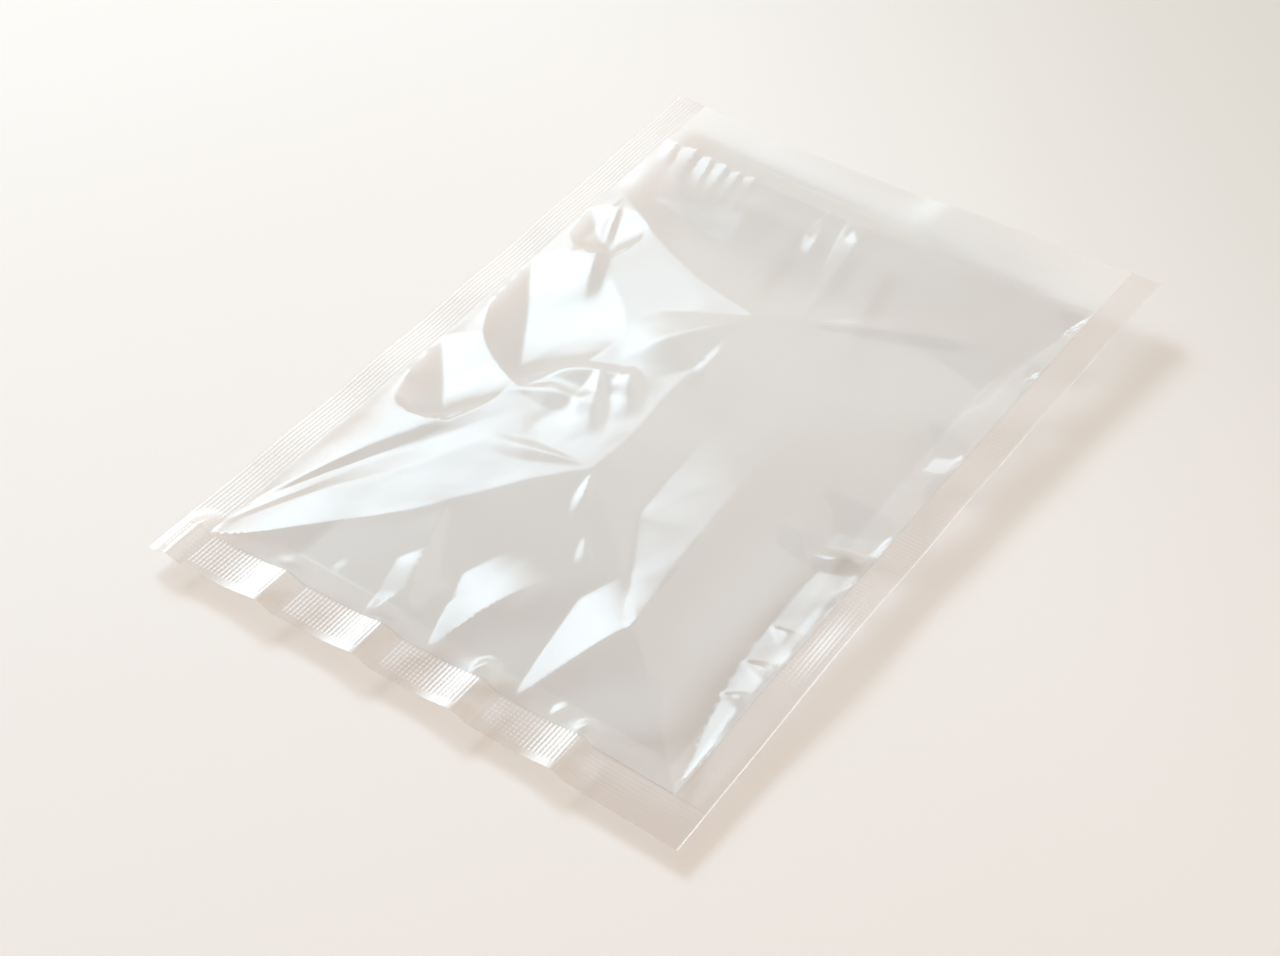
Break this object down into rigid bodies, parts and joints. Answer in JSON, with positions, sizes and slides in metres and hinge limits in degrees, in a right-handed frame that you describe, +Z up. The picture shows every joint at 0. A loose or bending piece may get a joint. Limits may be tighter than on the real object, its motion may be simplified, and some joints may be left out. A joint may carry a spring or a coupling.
{
  "type": "vacuum seal bag",
  "caption": "Empty clear film pouch for vacuum packing, sealed along its bottom and sides, open at one end, lying slightly puffed with gathers along its seals.",
  "frame": {"origin": "on the table, under the middle of the bag, in the flat patch of the bottom film", "axes": "+X across the bag, +Y along it from the bottom seal to the mouth, +Z up"},
  "size_m": [0.16, 0.23, 0.0154],
  "materials": {
    "clear_film": "clear glossy film"
  },
  "bodies": {
    "root": {"vacuum_bag": "clear_film"}
  },
  "joints": []
}
